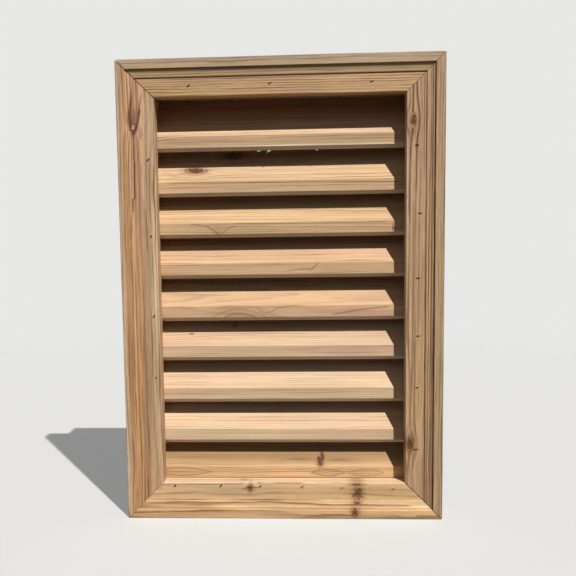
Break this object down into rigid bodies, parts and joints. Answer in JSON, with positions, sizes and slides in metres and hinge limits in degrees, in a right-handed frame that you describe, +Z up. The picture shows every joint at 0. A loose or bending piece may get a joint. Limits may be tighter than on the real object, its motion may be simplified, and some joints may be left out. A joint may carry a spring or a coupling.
{
  "type": "rectangular louvred gable vent",
  "caption": "Rectangular cedar gable vent: sloping louvres in a board box, framed by mitred brick mould, with wire cloth on the back.",
  "frame": {"origin": "middle of the bottom mould's back face, where it bears on the wall", "axes": "+X right and +Z up as seen from the front, +Y back into the wall; the front looks along -Y and Y = 0 is the wall face"},
  "size_m": [0.441, 0.1027, 0.635],
  "materials": {
    "mould_cedar": "bare planed cedar with straight grain and a few knots",
    "box_cedar": "bare planed cedar",
    "louver_cedar": "bare planed cedar, a little paler than the box",
    "wire_cloth": "dull galvanised wire"
  },
  "bodies": {
    "root": {"trim_top": "mould_cedar", "trim_bottom": "mould_cedar", "trim_left": "mould_cedar", "trim_right": "mould_cedar", "box_top": "box_cedar", "box_bottom": "box_cedar", "box_left": "box_cedar", "box_right": "box_cedar", "louver_1": "louver_cedar", "louver_2": "louver_cedar", "louver_3": "louver_cedar", "louver_4": "louver_cedar", "louver_5": "louver_cedar", "louver_6": "louver_cedar", "louver_7": "louver_cedar", "louver_8": "louver_cedar", "louver_9": "louver_cedar", "wire_cloth": "wire_cloth"}
  },
  "joints": []
}
